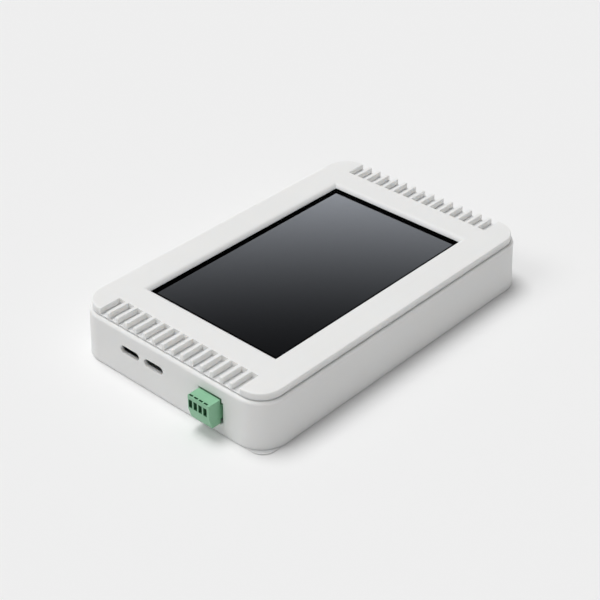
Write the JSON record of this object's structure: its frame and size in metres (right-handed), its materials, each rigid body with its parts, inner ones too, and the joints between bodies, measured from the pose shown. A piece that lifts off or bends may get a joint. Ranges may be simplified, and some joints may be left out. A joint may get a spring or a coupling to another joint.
{
  "type": "touch screen display",
  "caption": "Flat rounded case with a recessed glass screen, a row of cooling grooves along each short end, side ports and a pull-off screw terminal plug.",
  "frame": {"origin": "middle of the back plate's outer face", "axes": "+Z out of the screen, +X along the long side away from the connectors, +Y along the short side away from the terminal plug"},
  "size_m": [0.1683, 0.1032, 0.0249],
  "materials": {
    "case_plastic": "fine satin moulding",
    "cover_glass": "polished",
    "mask_ink": "screen-printed black border",
    "foam": "soft foam tape",
    "sensor_film": "clear film",
    "lcd_glass": "dark polarised panel, switched off",
    "diffuser": "milky film",
    "acrylic": "clear moulded",
    "led_strip": "yellow phosphor strip",
    "tray_steel": "pressed sheet",
    "clip_plastic": "moulded",
    "zinc_steel": "zinc plated",
    "board_laminate": "green solder mask",
    "shield_tin": "tinned sheet",
    "chip_resin": "moulded resin",
    "ferrite": "pressed powder",
    "can_aluminium": "drawn can",
    "socket_plastic": "moulded",
    "flex_film": "polyimide film",
    "shell_steel": "drawn steel",
    "terminal_plastic": "satin moulding",
    "tinned_brass": "tin plated",
    "insert_brass": "knurled"
  },
  "bodies": {
    "case": {"front_cover": "case_plastic", "main_housing": "case_plastic", "back_plate": "case_plastic", "touch_glass": "cover_glass", "glass_mask": "mask_ink", "glass_gasket": "foam", "touch_sensor": "sensor_film", "lcd_cell": "lcd_glass", "diffuser_films": "diffuser", "light_guide": "acrylic", "backlight_strip": "led_strip", "backlight_tray": "tray_steel", "display_clip_1": "clip_plastic", "display_clip_2": "clip_plastic", "display_clip_3": "clip_plastic", "display_clip_4": "clip_plastic", "clip_screws": "zinc_steel", "main_board": "board_laminate", "board_screws": "zinc_steel", "radio_board": "board_laminate", "radio_shield": "shield_tin", "memory_chip": "chip_resin", "bridge_chip": "chip_resin", "bus_chip": "chip_resin", "regulator_chip": "chip_resin", "power_inductor": "ferrite", "bulk_capacitor_1": "can_aluminium", "bulk_capacitor_2": "can_aluminium", "clock_crystal": "can_aluminium", "lcd_socket": "socket_plastic", "touch_socket": "socket_plastic", "lcd_flex": "flex_film", "touch_flex": "flex_film", "usb_shell_1": "shell_steel", "usb_shell_2": "shell_steel", "usb_tongue_1": "socket_plastic", "usb_tongue_2": "socket_plastic", "terminal_header": "terminal_plastic", "header_pins": "tinned_brass", "case_screws": "zinc_steel", "case_inserts": "insert_brass"},
    "plug": {"plug_body": "terminal_plastic", "plug_nose": "terminal_plastic", "plug_contacts": "tinned_brass"},
    "clamp_turn_1": {"clamp_screw_1": "zinc_steel"},
    "clamp_lift_1": {"clamp_cage_1": "tinned_brass"},
    "clamp_turn_2": {"clamp_screw_2": "zinc_steel"},
    "clamp_lift_2": {"clamp_cage_2": "tinned_brass"},
    "clamp_turn_3": {"clamp_screw_3": "zinc_steel"},
    "clamp_lift_3": {"clamp_cage_3": "tinned_brass"},
    "clamp_turn_4": {"clamp_screw_4": "zinc_steel"},
    "clamp_lift_4": {"clamp_cage_4": "tinned_brass"}
  },
  "joints": [
    {"name": "plug_pull", "type": "slide", "parent": "case", "child": "plug", "axis": [-1, 0, 0], "range_m": [0, 0.012]},
    {"name": "screw_turn_1", "type": "hinge", "parent": "plug", "child": "clamp_turn_1", "pos_m": [-0.08376, -0.02731, 0.0055], "axis": [0, 0, 1], "range_deg": [0, 1800]},
    {"name": "cage_slide_1", "type": "slide", "parent": "plug", "child": "clamp_lift_1", "axis": [0, 0, -1], "range_m": [0, 0.002]},
    {"name": "screw_turn_2", "type": "hinge", "parent": "plug", "child": "clamp_turn_2", "pos_m": [-0.08376, -0.02477, 0.0055], "axis": [0, 0, 1], "range_deg": [0, 1800]},
    {"name": "cage_slide_2", "type": "slide", "parent": "plug", "child": "clamp_lift_2", "axis": [0, 0, -1], "range_m": [0, 0.002]},
    {"name": "screw_turn_3", "type": "hinge", "parent": "plug", "child": "clamp_turn_3", "pos_m": [-0.08376, -0.02223, 0.0055], "axis": [0, 0, 1], "range_deg": [0, 1800]},
    {"name": "cage_slide_3", "type": "slide", "parent": "plug", "child": "clamp_lift_3", "axis": [0, 0, -1], "range_m": [0, 0.002]},
    {"name": "screw_turn_4", "type": "hinge", "parent": "plug", "child": "clamp_turn_4", "pos_m": [-0.08376, -0.01969, 0.0055], "axis": [0, 0, 1], "range_deg": [0, 1800]},
    {"name": "cage_slide_4", "type": "slide", "parent": "plug", "child": "clamp_lift_4", "axis": [0, 0, -1], "range_m": [0, 0.002]}
  ],
  "couplings": [
    {"joint": "screw_turn_1", "follows": "cage_slide_1", "rad_per_m": 15708},
    {"joint": "screw_turn_2", "follows": "cage_slide_2", "rad_per_m": 15708},
    {"joint": "screw_turn_3", "follows": "cage_slide_3", "rad_per_m": 15708},
    {"joint": "screw_turn_4", "follows": "cage_slide_4", "rad_per_m": 15708}
  ]
}
